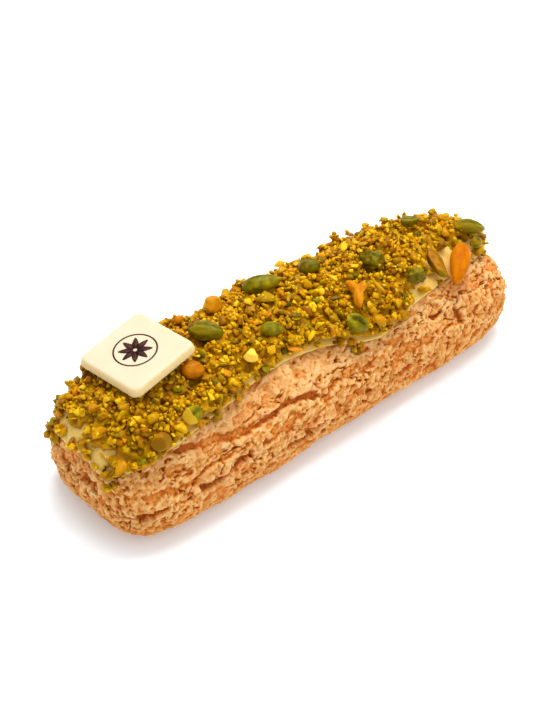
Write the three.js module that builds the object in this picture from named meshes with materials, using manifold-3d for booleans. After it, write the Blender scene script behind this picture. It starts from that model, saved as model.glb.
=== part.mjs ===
// An eclair: a baked choux finger under a crackled biscuit crust, with a thin pale icing poured along
// its crown, a layer of chopped pistachios pressed into the icing, larger nuts lying in that layer,
// and a small square plaque of white chocolate leaning on it at one end.
// Millimetres, +Z up. The length runs along X, the plaque is near -X, and -Y is the front.
import * as THREE from 'three';
import { mergeVertices } from 'three/addons/utils/BufferGeometryUtils.js';
import { ImprovedNoise } from 'three/addons/math/ImprovedNoise.js';
import Module from 'manifold-3d';

const wasm = await Module();
wasm.setup();
const noise = new ImprovedNoise();

// Choux finger.
const BUN_LENGTH = 130;
const BUN_WIDTH = 42.4;
const BUN_HEIGHT = 28.7;
const BELT_HEIGHT = 10.8; // where its section is widest
const END_SQUARENESS = 5.4; // power of the plan outline: 2 is an ellipse, more is squarer
const CROWN_POWER = 2.04; // power of the section above the belt
const FOOT_POWER = 3.4; // power of the section below the belt
const FOOT_DEPTH = 1.12; // depth of the lower section in belt heights, cut flat where it was baked
const TAPER = 0.074; // how much thicker the -X end is than the middle, and thinner the +X end
const WAIST = 0.03; // how much narrower it is at mid-length
const FOOT_WAIST = 0.07; // and the further narrowing of its foot there
const END_TUCK = 1.3; // how far the foot of each end is drawn in
const CRUST_BUMP = 0.5; // height of the crust's low swellings
const CRUST_BUMP_LENGTH = 13;
const CRUST_BUMP_WIDTH = 7;
const FINE_BUMP_LENGTH = 6.5; // smaller swellings on those
const FINE_BUMP_WIDTH = 4;
const FINE_BUMP_SHARE = 0.3;
const FOOT_CLEARANCE = 0.05; // least height of the crust beside its flat foot

// Icing: its edge is uneven, so its half-widths are given at even steps from -60 to 60 along X.
const TOUCH_GAP = 0.4; // left between pieces that touch
const ICING_THICKNESS = 1.3;
const ICING_ENDS = [-64.4, 62.5];
const EDGE_SPAN = 60;
const ICING_FRONT = [17, 15.4, 13.4, 11.3, 12.2, 15.6, 12.8, 11.7, 10.5];
const ICING_BACK = [15.4, 13.5, 13.2, 12.4, 13.4, 12.6, 13.6, 12.8, 11];

// Chopped nuts, given in the same way.
const HEAP_THICKNESS = 3.9;
const HEAP_THIN = 0.5; // share that the layer loses at either end
const HEAP_THIN_FROM = [-52, 34];
const HEAP_LUMP = 1.3;
const HEAP_LUMP_SIZE = 5.5;
const SMALL_LUMP_SIZE = 3;
const HEAP_ENDS = [-62.6, 59];
const HEAP_FRONT = [18.4, 14.6, 12.1, 10.2, 11.4, 15.2, 11.8, 3.8, 5];
const HEAP_BACK = [12.6, 12.4, 12.4, 11.2, 12.6, 11.4, 12.6, 11.6, 9.6];
const LAYER_HALF_WIDTH = 12; // about that of both layers
const EDGE_POWER = 0.8; // how round their section is: 1 is an ellipse, less is fuller
const RISE_POWER = 0.5;

// White chocolate plaque, lying askew on the nuts with its +X side higher.
const PLAQUE_SIDE = 20.6;
const PLAQUE_DRAFT = 0.05; // how much narrower its top is than its base, as a share of the side
const PLAQUE_THICKNESS = 2.5;
const PLAQUE_CORNER = 2;
const PLAQUE_BEVEL = 0.6;
const PLAQUE_CENTRE = [-44.2, 3.6, 38];
const PLAQUE_TILT = [-3, -7.8, 6.8]; // degrees about X, Y and the upright

// Larger nuts and pieces: the name and shape, where it lies in plan, its length, width and thickness, the
// heading of its length in degrees from +X, the share of its thickness that is sunk, and its skin.
const NUTS = [
  ['pistachio_back', wholeNut, [-3.3, 7.4], [10, 5.4, 5], -33, 0.32, 'green'],
  ['pistachio_dark', wholeNut, [-25.4, 1.8], [9.2, 5.8, 5.2], -50, 0.4, 'dark'],
  ['pistachio_middle', wholeNut, [-11.9, -6.6], [6, 4.2, 3.8], -31, 0.45, 'green'],
  ['pistachio_olive', wholeNut, [10.8, 5.8], [6, 4.6, 4.2], -41, 0.45, 'dark'],
  ['pistachio_curled', wholeNut, [8.1, -14.6], [6.6, 5, 4], -57, 0.35, 'green'],
  ['pistachio_far_end', wholeNut, [57.1, -3.9], [9.2, 4.6, 4.2], -28, 0.1, 'dark'],
  ['pistachio_wedge', halfNut, [39.8, -8.9], [9.6, 3.7, 3.4], -98, -0.15, 'dark'],
  ['pistachio_pair', halfNut, [43.8, 4.2], [5.2, 3.6, 3], -37, 0.3, 'dark'],
  ['pistachio_cut', halfNut, [-43.6, -15], [5.4, 4.6, 4], 20, 0.4, 'green'],
  ['pistachio_rough', brokenNut, [24.7, -2.3], [8.4, 6, 5], -64, 0.4, 'green'],
  ['pistachio_rough_front', brokenNut, [31, -11.5], [5.8, 5, 4.6], -20, 0.4, 'dark'],
  ['pistachio_cube', brokenNut, [55.2, -7.4], [4.6, 3.8, 3.6], 10, -0.3, 'green'],
  ['toasted_round', wholeNut, [-35.8, -6.4], [5.8, 5.2, 4.4], -40, 0.55, 'toasted'],
  ['toasted_fork', forkedNut, [14.2, -8], [7.4, 6.6, 3.2], -96, 0.3, 'toasted'],
  ['golden_chunk', brokenNut, [-16.9, 9.4], [6, 5.2, 5.4], 33, 0.35, 'golden'],
  ['almond_chunk', brokenNut, [-21.4, -10], [4.8, 4, 3.6], -25, 0.4, 'golden'],
  ['amber_chunk', brokenNut, [-52.8, -16.3], [6.2, 5, 4.2], -5, 0.4, 'golden'],
  ['pine_nut', pineNut, [45.3, -10.9], [13.6, 6.1, 5.4], -135, -0.12, 'toasted'],
];
const KERNEL_SIDES = 10;
const KERNEL_RINGS = 7;
const BREAKS = [[0.9, 0.3, 0.5], [-0.7, 0.6, 0.45], [-0.4, -0.9, 0.3], [0.5, -0.6, 0.7], [0.1, 0.2, 1]];
const BREAK_REACH = 0.78; // share of a broken piece's radius that its flattened sides keep
const BREAK_FLATNESS = 0.8;
const FORK_PRONGS = [[198, 0.45], [109, 0.6], [-27, 0.62]]; // heading in degrees and share of the length
const FORK_OVERLAP = 1.4;
const FORK_THICKNESS = 0.42;
const NUT_SKINS = {
  green: { color: 0x8f8a1c, roughness: 0.42 },
  dark: { color: 0x6d6210, roughness: 0.4 },
  toasted: { color: 0xd98a2b, roughness: 0.38 },
  golden: { color: 0xd9a52c, roughness: 0.45 },
};

const HALF_LENGTH = BUN_LENGTH / 2;
const roundPower = (value, power) => Math.sign(value) * Math.pow(Math.abs(value), power);
const taperAt = (x) => 1 - (TAPER * x) / HALF_LENGTH;
const middle = (x) => 1 - Math.pow(x / HALF_LENGTH, 2);
const halfWidth = (x) => (BUN_WIDTH / 2) * taperAt(x) * (1 - WAIST * middle(x));
const closing = (share, power) => Math.pow(Math.max(0, 1 - Math.pow(Math.abs(share), power)), 1 / power);

// A sphere's net with its poles on the X axis, each vertex moved to pointAt(travel, turn): travel runs
// from 0 at the -X pole to 1 at the +X pole, turn is the angle from +Y towards +Z.
function shapedNet(around, along, pointAt) {
  const sphere = new THREE.SphereGeometry(1, around, along);
  sphere.deleteAttribute('normal');
  sphere.deleteAttribute('uv');
  const net = mergeVertices(sphere);
  const position = net.getAttribute('position');
  for (let i = 0; i < position.count; i++) {
    const travel = Math.acos(THREE.MathUtils.clamp(position.getY(i), -1, 1)) / Math.PI;
    const point = pointAt(travel, Math.atan2(position.getZ(i), position.getX(i)));
    position.setXYZ(i, point.x, point.y, point.z);
  }
  return net;
}

// Rings evenly spaced along a profile that closes at both ends: ring i of `along` is at x, scaled by k.
function evenRings(along, from, to, power, girth) {
  const fine = 4000;
  const profile = [];
  let walked = 0;
  for (let i = 0; i <= fine; i++) {
    const angle = (Math.PI * i) / fine;
    const x = (from + to) / 2 - ((to - from) / 2) * roundPower(Math.cos(angle), 2 / power);
    const k = Math.pow(Math.sin(angle), 2 / power) || 0;
    const before = profile[i - 1] ?? { x, k };
    walked += Math.hypot(x - before.x, girth * (k - before.k));
    profile.push({ x, k, walked });
  }
  return (travel) => {
    const target = (walked * Math.round(travel * along)) / along;
    return profile.find((ring) => ring.walked >= target) ?? profile[fine];
  };
}

// Low swellings of the crust, longer along the bun than across it.
function crustBump(point) {
  const { x, y, z } = point;
  const wide = noise.noise(x / CRUST_BUMP_LENGTH, y / CRUST_BUMP_WIDTH, z / CRUST_BUMP_WIDTH);
  const fine = noise.noise(x / FINE_BUMP_LENGTH + 7, y / FINE_BUMP_WIDTH, z / FINE_BUMP_WIDTH);
  return CRUST_BUMP * (wide + FINE_BUMP_SHARE * fine);
}

function bun() {
  const around = 34;
  const along = 46;
  const ringAt = evenRings(along, -HALF_LENGTH, HALF_LENGTH, END_SQUARENESS, BELT_HEIGHT);
  const smooth = shapedNet(around, along, (travel, turn) => {
    const { x, k } = ringAt(travel);
    const above = Math.sin(turn) >= 0;
    const power = above ? CROWN_POWER : FOOT_POWER;
    const reach = above ? BUN_HEIGHT * taperAt(x) - BELT_HEIGHT : BELT_HEIGHT * FOOT_DEPTH;
    const z = Math.max(0, BELT_HEIGHT + reach * k * roundPower(Math.sin(turn), 2 / power));
    const below = Math.max(0, 1 - z / BELT_HEIGHT);
    const half = halfWidth(x) * (1 - FOOT_WAIST * below * middle(x));
    const y = half * k * roundPower(Math.cos(turn), 2 / power);
    return new THREE.Vector3(x - (END_TUCK * below * below * x) / HALF_LENGTH, y, z);
  });
  smooth.computeVertexNormals();
  const position = smooth.getAttribute('position');
  const normal = smooth.getAttribute('normal');
  const point = new THREE.Vector3();
  const out = new THREE.Vector3();
  for (let i = 0; i < position.count; i++) {
    point.fromBufferAttribute(position, i);
    out.fromBufferAttribute(normal, i);
    if (point.z > 0) {
      point.addScaledVector(out, crustBump(point));
      position.setXYZ(i, point.x, point.y, Math.max(FOOT_CLEARANCE, point.z));
    }
  }
  smooth.deleteAttribute('normal');
  return smooth;
}

// Height of the smooth crown over a point of the plan.
function crownHeight(x, y) {
  const k = closing(x / HALF_LENGTH, END_SQUARENESS);
  const side = k > 0 ? y / (halfWidth(x) * k) : 1;
  return BELT_HEIGHT + (BUN_HEIGHT * taperAt(x) - BELT_HEIGHT) * k * closing(side, CROWN_POWER);
}

function crownNormal(x, y) {
  const step = 0.05;
  const alongX = (crownHeight(x + step, y) - crownHeight(x - step, y)) / (2 * step);
  const alongY = (crownHeight(x, y + step) - crownHeight(x, y - step)) / (2 * step);
  return new THREE.Vector3(-alongX, -alongY, 1).normalize();
}

function aboveCrust(x, y, lift) {
  const point = new THREE.Vector3(x, y, crownHeight(x, y));
  return point.addScaledVector(crownNormal(x, y), crustBump(point) + lift);
}

// A half-width read from its list by a smooth curve through the listed values.
function widthCurve(widths) {
  const step = (2 * EDGE_SPAN) / (widths.length - 1);
  const curve = new THREE.SplineCurve(widths.map((width, i) => new THREE.Vector2(i * step, width)));
  return (x) => {
    const share = (x + EDGE_SPAN) / (2 * EDGE_SPAN);
    return curve.getPoint(THREE.MathUtils.clamp(share, 0, 1)).y;
  };
}

// A layer on the crown between two uneven edges, from lift upwards. topAt gives its thickness.
function crownLayer({ around, along, ends, front, back, lift, topAt }) {
  const ringAt = evenRings(along, ends[0], ends[1], END_SQUARENESS, LAYER_HALF_WIDTH);
  const frontAt = widthCurve(front);
  const backAt = widthCurve(back);
  return shapedNet(around, along, (travel, turn) => {
    const { x, k } = ringAt(travel);
    const across = roundPower(Math.cos(turn), EDGE_POWER);
    const y = k * across * (across < 0 ? frontAt(x) : backAt(x));
    const rise = 0.5 + 0.5 * roundPower(Math.sin(turn), RISE_POWER) * Math.pow(k, RISE_POWER);
    return aboveCrust(x, y, lift + rise * topAt(x, y));
  });
}

const icing = () =>
  crownLayer({
    around: 16,
    along: 40,
    ends: ICING_ENDS,
    front: ICING_FRONT,
    back: ICING_BACK,
    lift: TOUCH_GAP,
    topAt: () => ICING_THICKNESS,
  });

// The nut layer is lumpy, and thinner towards both ends.
function heapThickness(x, y) {
  const wide = noise.noise(x / HEAP_LUMP_SIZE, y / HEAP_LUMP_SIZE, 3);
  const small = noise.noise(x / SMALL_LUMP_SIZE, y / SMALL_LUMP_SIZE, 9);
  const nearPlaque = THREE.MathUtils.smoothstep(-x, -HEAP_THIN_FROM[0], -HEAP_ENDS[0]);
  const nearTip = THREE.MathUtils.smoothstep(x, HEAP_THIN_FROM[1], HEAP_ENDS[1]);
  return HEAP_THICKNESS * (1 - HEAP_THIN * (nearPlaque + nearTip)) + HEAP_LUMP * (wide + 0.5 * small);
}

const nutHeap = () =>
  crownLayer({
    around: 20,
    along: 42,
    ends: HEAP_ENDS,
    front: HEAP_FRONT,
    back: HEAP_BACK,
    lift: 2 * TOUCH_GAP + ICING_THICKNESS,
    topAt: heapThickness,
  });

function plaque(grow = 0) {
  const half = PLAQUE_SIDE / 2 - PLAQUE_BEVEL + grow;
  const corner = PLAQUE_CORNER - PLAQUE_BEVEL;
  const outline = new THREE.Shape();
  outline.moveTo(-half + corner, -half);
  outline.absarc(half - corner, -half + corner, corner, -Math.PI / 2, 0);
  outline.absarc(half - corner, half - corner, corner, 0, Math.PI / 2);
  outline.absarc(-half + corner, half - corner, corner, Math.PI / 2, Math.PI);
  outline.absarc(-half + corner, -half + corner, corner, Math.PI, 1.5 * Math.PI);
  const depth = PLAQUE_THICKNESS - 2 * PLAQUE_BEVEL + 2 * grow;
  const slab = new THREE.ExtrudeGeometry(outline, {
    depth,
    curveSegments: 2,
    bevelSize: PLAQUE_BEVEL,
    bevelThickness: PLAQUE_BEVEL,
    bevelSegments: 2,
  });
  slab.translate(0, 0, -depth / 2);
  const position = slab.getAttribute('position');
  for (let i = 0; i < position.count; i++) {
    const share = 1 - PLAQUE_DRAFT * (0.5 + position.getZ(i) / PLAQUE_THICKNESS);
    position.setXY(i, position.getX(i) * share, position.getY(i) * share);
  }
  return slab;
}

// Nut kernels, made about their own centre with the length along X. A kernel is round in section, and
// girthAt gives the share of its width at t, from -1 at one tip to 1 at the other.
function kernel([length, width, height], girthAt, heightAt = (rise) => rise) {
  return shapedNet(KERNEL_SIDES, KERNEL_RINGS, (travel, turn) => {
    const t = -Math.cos(Math.PI * travel);
    const girth = girthAt(t);
    const y = (width / 2) * girth * Math.cos(turn);
    return new THREE.Vector3((length / 2) * t, y, height * heightAt(0.5 * girth * Math.sin(turn)));
  });
}

function wholeNut(size) {
  return kernel(size, (t) => Math.sqrt(1 - t * t) * (1 - 0.14 * t));
}

// A kernel split along its length, cut face up. Its round back takes up the whole thickness.
function halfNut(size) {
  return kernel(
    size,
    (t) => Math.sqrt(1 - t * t) * (1 - 0.2 * t),
    (rise) => 0.5 + 2 * Math.min(rise, 0),
  );
}

// Blunt at one end and pointed at the other.
function pineNut(size) {
  return kernel(size, (t) => Math.sqrt(1 - t * t) * (0.97 - 0.33 * t - 0.12 * t * t));
}

// A piece with broken faces: a ball flattened on a few sides.
function brokenNut([length, width, height]) {
  const ball = new THREE.IcosahedronGeometry(1, 1);
  ball.deleteAttribute('normal');
  ball.deleteAttribute('uv');
  const piece = mergeVertices(ball);
  const position = piece.getAttribute('position');
  const point = new THREE.Vector3();
  for (let i = 0; i < position.count; i++) {
    point.fromBufferAttribute(position, i);
    for (const direction of BREAKS) {
      const face = new THREE.Vector3(...direction).normalize();
      const over = Math.max(0, point.dot(face) - BREAK_REACH);
      point.addScaledVector(face, -BREAK_FLATNESS * over);
    }
    position.setXYZ(i, point.x, point.y, point.z);
  }
  return piece.scale(length / 2, width / 2, height / 2);
}

// A toasted kernel broken into a fork: three prongs that meet in the middle.
function forkedNut([length, width, height]) {
  const prongs = FORK_PRONGS.map(([angle, share]) => {
    const reach = share * length;
    const prong = wholeNut([reach + FORK_OVERLAP, FORK_THICKNESS * width, height]);
    prong.translate(reach / 2, 0, 0);
    return asSolid(prong.rotateZ(THREE.MathUtils.degToRad(angle)));
  });
  return asGeometry(prongs[0].add(prongs[1]).add(prongs[2]));
}

function asSolid(geometry) {
  const bare = geometry.clone();
  bare.deleteAttribute('normal');
  bare.deleteAttribute('uv');
  const merged = mergeVertices(bare);
  const vertProperties = new Float32Array(merged.getAttribute('position').array);
  const triVerts = new Uint32Array(merged.index.array);
  return new wasm.Manifold(new wasm.Mesh({ numProp: 3, vertProperties, triVerts }));
}

function asGeometry(solid) {
  const mesh = solid.getMesh();
  const geometry = new THREE.BufferGeometry();
  geometry.setAttribute('position', new THREE.BufferAttribute(mesh.vertProperties, 3));
  geometry.setIndex(new THREE.BufferAttribute(mesh.triVerts, 1));
  return geometry;
}

function named(name, geometry, look) {
  const mesh = new THREE.Mesh(geometry, new THREE.MeshStandardMaterial({ metalness: 0, ...look }));
  mesh.name = name;
  return mesh;
}

// Lays a nut down: its centre on the surface under it, its length along its heading, level with the crown.
function lay(mesh, ground, [x, y], turn, height) {
  const ray = new THREE.Raycaster(new THREE.Vector3(x, y, 2 * BUN_HEIGHT), new THREE.Vector3(0, 0, -1));
  const surface = ray.intersectObjects(ground, false)[0].point;
  const up = crownNormal(x, y);
  const heading = THREE.MathUtils.degToRad(turn);
  const forward = new THREE.Vector3(Math.cos(heading), Math.sin(heading), 0);
  const side = new THREE.Vector3().crossVectors(up, forward).normalize();
  forward.crossVectors(side, up);
  mesh.quaternion.setFromRotationMatrix(new THREE.Matrix4().makeBasis(forward, side, up));
  mesh.position.copy(surface).addScaledVector(up, height + TOUCH_GAP);
  mesh.updateMatrixWorld(true);
}

// The geometry of a mesh where it stands.
const placed = (mesh, geometry) => asSolid(geometry.clone().applyMatrix4(mesh.matrixWorld));

const bunMesh = named('choux_bun', bun(), { color: 0xd8945a, roughness: 0.8 });
const icingMesh = named('icing', icing(), { color: 0xe9cd84, roughness: 0.3 });
const heapMesh = named('nut_heap', nutHeap(), { color: 0xa5780d, roughness: 0.6 });

const plaqueMesh = named('plaque', plaque(), { color: 0xfcf2cd, roughness: 0.35 });
plaqueMesh.position.set(...PLAQUE_CENTRE);
plaqueMesh.rotation.set(...PLAQUE_TILT.map(THREE.MathUtils.degToRad), 'XYZ');
plaqueMesh.updateMatrixWorld(true);

// The chopped nuts leave a pocket round each larger nut, and lie clear of the plaque.
let heapSolid = asSolid(heapMesh.geometry).subtract(placed(plaqueMesh, plaque(TOUCH_GAP)));
const ground = [heapMesh, icingMesh, bunMesh];
const nutMeshes = NUTS.map(([name, make, at, size, turn, sink, skin]) => {
  const mesh = named(name, make(size), NUT_SKINS[skin]);
  lay(mesh, ground, at, turn, size[2] * (0.5 - sink));
  const pocket = make(size.map((side) => side + 2 * TOUCH_GAP));
  heapSolid = heapSolid.subtract(placed(mesh, pocket));
  return mesh;
});
const heapPieces = heapSolid.decompose().sort((a, b) => b.volume() - a.volume());
heapMesh.geometry = asGeometry(heapPieces[0]);

// The origin is on the base, under the middle of the whole eclair.
const eclair = new THREE.Group();
eclair.add(bunMesh, icingMesh, heapMesh, plaqueMesh, ...nutMeshes);
const box = new THREE.Box3().setFromObject(eclair, true);
eclair.position.set(-(box.min.x + box.max.x) / 2, -(box.min.y + box.max.y) / 2, -box.min.z);

const part = new THREE.Group();
part.add(eclair);

export default part;
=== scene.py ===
# An eclair with chopped pistachios, put together as a pastry cook does it: the baked finger, the icing,
# the chopped nuts pressed into it, the larger kernels and the white chocolate plaque.
# Metres, +Z up. The length runs along X, the plaque is near -X, and -Y is the front.
import math

import bmesh
import bpy
import numpy as np
from mathutils import Matrix, Vector, noise
from mathutils.bvhtree import BVHTree
from mathutils.kdtree import KDTree


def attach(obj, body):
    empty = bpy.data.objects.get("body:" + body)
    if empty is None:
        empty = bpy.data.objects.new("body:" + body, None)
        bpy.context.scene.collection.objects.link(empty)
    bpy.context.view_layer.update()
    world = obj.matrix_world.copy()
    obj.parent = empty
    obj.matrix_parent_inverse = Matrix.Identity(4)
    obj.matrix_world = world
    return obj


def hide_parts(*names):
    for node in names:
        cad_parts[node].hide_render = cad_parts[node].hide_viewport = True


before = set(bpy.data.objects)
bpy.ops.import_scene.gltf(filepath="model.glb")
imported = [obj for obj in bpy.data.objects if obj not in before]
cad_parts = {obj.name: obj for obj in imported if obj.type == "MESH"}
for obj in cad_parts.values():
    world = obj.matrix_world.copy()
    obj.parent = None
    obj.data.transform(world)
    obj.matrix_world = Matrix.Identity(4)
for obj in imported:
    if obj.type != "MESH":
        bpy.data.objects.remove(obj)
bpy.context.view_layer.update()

MM = 0.001


# ---------------------------------------------------------------- the baked finger
# Choux paste baked under a thin sheet of sugared biscuit dough. As the choux swells in the oven, the
# dough dries, crumbles and tears along the length, and the browner shell shows in the cracks.

CRUST_VOXEL = 0.75 * MM
# Sizes of the torn dough in mm: along the finger first, then across it.
PLATES = (6.0, 3.2, 3.2)
CRUMBS = (2.8, 2.0, 2.0)
CREVICES = (6.5, 2.6, 2.6)
GRAIN = 1.1
PIT_SPACING = 1.35
PLATE_RISE = 0.62
CRUMB_RISE = 0.26
GRAIN_RISE = 0.2
CREVICE_DEPTH = 0.8
PIT_DEPTH = 0.8

# Long tears along the front and the back, each with its half-width, its depth and a few points, in mm.
TEARS = [
    (0.9, 0.9, [(-47, -15.9, 23.6), (-40, -17.0, 22.4), (-34, -17.9, 21.2), (-28, -18.6, 20.2)]),
    (0.75, 0.8, [(-28, -18.6, 20.2), (-22, -18.2, 20.7), (-16, -17.8, 21.2), (-8, -18.5, 19.6)]),
    (0.8, 1.5, [(-44.5, -21.2, 13.2), (-39.4, -21.3, 13.0), (-34.5, -21.2, 13.9), (-30, -20.9, 15.2)]),
    (0.8, 1.3, [(-18, -21.0, 10.2), (-12.7, -20.7, 9.8), (-6.6, -20.6, 11.4)]),
    (0.8, 1.3, [(-61, -17.8, 11.2), (-58.1, -19.1, 12.0), (-55, -19.9, 12.5)]),
    (1.5, 0.9, [(-64.7, -2.5, 15.2), (-64.5, -6.0, 15.4)]),
    (0.6, 1.0, [(18.8, -19.9, 11.6), (23, -19.9, 11.5)]),
    (0.7, 1.0, [(41.3, -17.0, 18.9), (42, -18.6, 15.8)]),
    (0.5, 0.9, [(33.4, -16.5, 20.1), (36.5, -16.2, 20.3)]),
    (1.2, 1.0, [(-52, 18.6, 19.5), (-30, 18.4, 20.4), (-12, 18.2, 20.2)]),
    (0.55, 1.3, [(2, 20.2, 14.0), (14, 20.0, 13.0), (25, 19.6, 13.8)]),
    (0.9, 1.0, [(30, 16.6, 19.6), (44, 16.2, 19.0)]),
]


def joined_copy(node):
    """A copy of a CAD node's mesh, as a bmesh whose loose triangles are joined up into quads."""
    shape = bmesh.new()
    shape.from_mesh(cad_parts[node].data)
    bmesh.ops.remove_doubles(shape, verts=shape.verts, dist=0.001 * MM)
    flat_enough = math.radians(40)
    bmesh.ops.join_triangles(
        shape,
        faces=shape.faces,
        angle_face_threshold=flat_enough,
        angle_shape_threshold=flat_enough,
    )
    return shape


def as_object(name, shape):
    """An object with that bmesh's shape and smooth shading, linked to the scene."""
    mesh = bpy.data.meshes.new(name)
    shape.to_mesh(mesh)
    shape.free()
    for attribute in [a for a in mesh.attributes if a.name in ("custom_normal", "sharp_face", "sharp_edge")]:
        mesh.attributes.remove(attribute)
    mesh.shade_smooth()
    obj = bpy.data.objects.new(name, mesh)
    bpy.context.scene.collection.objects.link(obj)
    return obj


def refined(shape, levels, voxel):
    """That shape rounded by subdivision, then remeshed to even quads of the voxel's size."""
    rough = as_object("rough_shape", shape)
    if levels:
        rounding = rough.modifiers.new("rounding", "SUBSURF")
        rounding.levels = rounding.render_levels = levels
    remesh = rough.modifiers.new("even_quads", "REMESH")
    remesh.mode = "VOXEL"
    remesh.voxel_size = voxel
    whole = rough.evaluated_get(bpy.context.evaluated_depsgraph_get())
    fine = bmesh.new()
    fine.from_mesh(whole.data)
    bpy.data.objects.remove(rough)
    fine.normal_update()
    return fine


def smoothed(shape, rounds):
    """Rounds off every corner of the shape a little, that many times."""
    for _ in range(rounds):
        bmesh.ops.smooth_vert(
            shape, verts=shape.verts, factor=0.5, use_axis_x=True, use_axis_y=True, use_axis_z=True
        )
    shape.normal_update()


def places_and_normals(shape):
    """Each vertex's place in mm and its normal."""
    shape.verts.ensure_lookup_table()
    places = np.array([v.co for v in shape.verts]) / MM
    return places, np.array([v.normal for v in shape.verts])


def smoothstep(low, high, value):
    share = np.clip((value - low) / (high - low), 0, 1)
    return share * share * (3 - 2 * share)


def noise_at(points, size, seed=0.0):
    """Perlin noise, about -1 to 1, at each point. The size is one number, or one for each axis."""
    spots = points / size + seed * np.array([1.0, 1.7, -0.6])
    return np.array([noise.noise(Vector(spot)) for spot in spots])


def drifted(points, *layers):
    """The points moved about by layers of noise, each with its size and its reach."""
    moved = points.copy()
    for size, reach in layers:
        moved += reach * np.array([noise.noise_vector(Vector(spot)) for spot in points / size])
    return moved


def cells_at(points, size):
    """How far the nearest of many scattered centres is, in cell sizes, and that centre's own number."""
    apart = np.zeros(len(points))
    number = np.zeros(len(points))
    for i, spot in enumerate(points / size):
        distances, centres = noise.voronoi(Vector(spot))
        apart[i] = distances[0]
        number[i] = noise.cell(centres[0] * 9)
    return apart, number


def ragged_at(points, sizes, seed, roughness=0.55, layers=4):
    """Noise whose finer layers fray its outlines. Each layer is half the size of the one before."""
    total = np.zeros(len(points))
    for layer in range(layers):
        total += roughness**layer * noise_at(points, np.array(sizes) / 2**layer, seed + 7 * layer)
    return total


def distance_to_line(points, line):
    """How far each point is from a line drawn through a few others."""
    nearest = np.full(len(points), np.inf)
    for start, end in zip(np.array(line[:-1], float), np.array(line[1:], float)):
        along = end - start
        share = np.clip((points - start) @ along / (along @ along), 0, 1)
        nearest = np.minimum(nearest, np.linalg.norm(points - start - share[:, None] * along, axis=1))
    return nearest


def spread(shape, values, rounds):
    """The values evened out over the surface by rounds of averaging with their neighbours."""
    first, second = np.array([[v.index for v in edge.verts] for edge in shape.edges]).T
    neighbours = np.bincount(first, minlength=len(values)) + np.bincount(second, minlength=len(values))
    for _ in range(rounds):
        beside = np.bincount(first, values[second], len(values))
        beside += np.bincount(second, values[first], len(values))
        values = 0.5 * values + 0.5 * beside / neighbours
    return values


crust_shape = refined(joined_copy("choux_bun"), 2, CRUST_VOXEL)
icing_above = BVHTree.FromPolygons(
    [v.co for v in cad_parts["icing"].data.vertices],
    [p.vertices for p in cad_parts["icing"].data.polygons],
)
covered = {v for v in crust_shape.verts if icing_above.ray_cast(v.co, v.normal, 3 * MM)[0] is not None}
open_faces = [
    f
    for f in crust_shape.faces
    if f.calc_center_median().z > 0.6 * MM and not all(v in covered for v in f.verts)
]
bmesh.ops.subdivide_edges(
    crust_shape,
    edges=list(dict.fromkeys(e for f in open_faces for e in f.edges)),
    cuts=1,
    use_grid_fill=True,
    smooth=0.4,
)
crust_shape.normal_update()
crust_shape.verts.index_update()
crust_points, crust_normals = places_and_normals(crust_shape)
above = crust_points[:, 2]

# The dough is whole near the foot and finely pitted right under the icing. It is torn on the flanks.
torn_here = smoothstep(2.5, 8, above) * (1 - 0.55 * smoothstep(21.5, 25, above))
torn_here = torn_here * (0.45 + 0.55 * smoothstep(-0.35, 0.15, noise_at(crust_points, 9, 19)))
wandering = drifted(crust_points, (4.0, 1.0), (1.3, 0.4))
plate_edge = ragged_at(wandering, PLATES, 31)
plates = smoothstep(-0.06, 0.06, plate_edge - 0.34 * (torn_here - 0.75) + 0.16)
crumbs = ragged_at(wandering, CRUMBS, 43)
crevice_line = np.abs(ragged_at(wandering, CREVICES, 57, 0.5, 3))
crevices = (1 - smoothstep(0.015, 0.06 + 0.05 * torn_here, crevice_line)) * smoothstep(0.5, 0.8, torn_here)
grain_away, grain_number = cells_at(wandering, GRAIN)
grains = (1 - (grain_away / 0.6) ** 2) + 0.9 * (grain_number - 0.5)
pit_away, pit_number = cells_at(wandering, PIT_SPACING)
pit_radius = 0.3 * smoothstep(0.4, 0.95, pit_number)
pits = (1 - smoothstep(0.5 * pit_radius, pit_radius + 0.02, pit_away)) * (pit_radius > 0.03)

torn_open = np.zeros(len(crust_points))
torn_depth = np.zeros(len(crust_points))
ragged_edge = noise_at(crust_points, 1.6, 5) * 0.6 + noise_at(crust_points, 0.8, 9) * 0.5
tear_wander = noise_at(crust_points, 5.0, 13)
for half_width, depth, line in TEARS:
    frayed_width = 1.25 * half_width * (1 + 0.7 * tear_wander)
    inside = 1 - smoothstep(0.6, 1.05, distance_to_line(crust_points, line) / frayed_width + ragged_edge)
    torn_open = np.maximum(torn_open, inside)
    torn_depth = np.maximum(torn_depth, inside * depth)

relief = (1 - torn_open) * (PLATE_RISE * plates + CRUMB_RISE * crumbs * (0.4 + 0.6 * plates))
relief += GRAIN_RISE * grains * (0.5 + 0.5 * plates) * (1 - 0.8 * torn_open)
relief -= CREVICE_DEPTH * crevices * (1 - torn_open) + PIT_DEPTH * pits + torn_depth
calm = (0.4 + 0.6 * smoothstep(1.5, 7, above)) * (1 - 0.25 * smoothstep(22.5, 25.5, above))
swell = noise_at(crust_points, 9, 3)
height = np.where(above < 0.3, 0, 0.45 * swell + calm * relief)
moved = crust_points + crust_normals * height[:, None]
moved[:, 2] = np.maximum(moved[:, 2], 0)
for vertex, point in zip(crust_shape.verts, moved):
    vertex.co = Vector(point) * MM
hollow = spread(crust_shape, height, 36) - height
is_open = np.array([v not in covered for v in crust_shape.verts])
choux_crust = as_object("choux_crust", crust_shape)


def paint(obj, name, values):
    """A number for each vertex of the mesh, which its material reads by that name."""
    layer = obj.data.attributes.new(name, "FLOAT", "POINT")
    layer.data.foreach_set("value", np.asarray(values, np.float32))


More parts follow.
